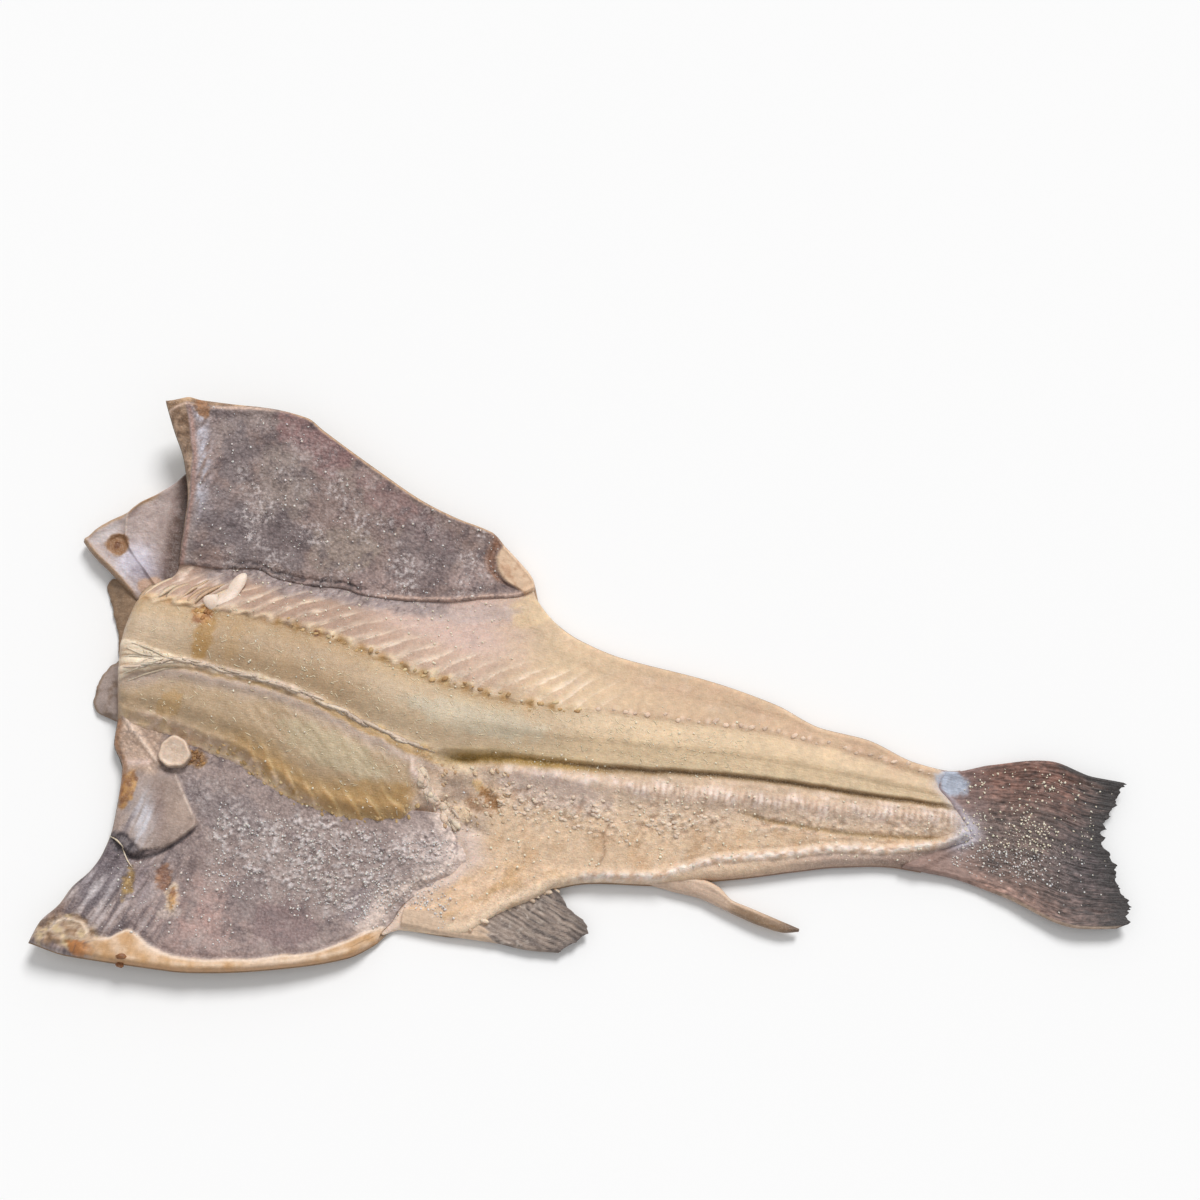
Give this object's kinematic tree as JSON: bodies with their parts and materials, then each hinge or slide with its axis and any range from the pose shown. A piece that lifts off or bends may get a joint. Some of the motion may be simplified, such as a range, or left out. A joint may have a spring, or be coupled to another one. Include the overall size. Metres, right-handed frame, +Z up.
{
  "type": "salted dried cod",
  "caption": "Whole split salted dried cod, boned and opened flat with the flesh up: two thick loins, thin belly flaps, a shoulder flap, anal fin stumps and a square tail fin.",
  "frame": {"origin": "middle of the bounding box's bottom face, on the table", "axes": "+X from the nape cut towards the tail fin, +Y across the fish towards the half without fins, +Z up out of the flesh side"},
  "size_m": [0.56, 0.298, 0.0279],
  "materials": {
    "flesh": "dried, salt-cured translucent flesh, satin and uneven",
    "lining": "dried grey-purple belly lining, matte with salt",
    "membrane": "dried cream membrane and connective tissue, satin",
    "skin": "dried mottled olive-brown skin, satin",
    "fin": "dried dark skin over fin rays, matte",
    "bone": "dry bone and cartilage, matte",
    "salt": "coarse salt grains, dull white"
  },
  "bodies": {
    "root": {"split_cod": "flesh"}
  },
  "joints": []
}
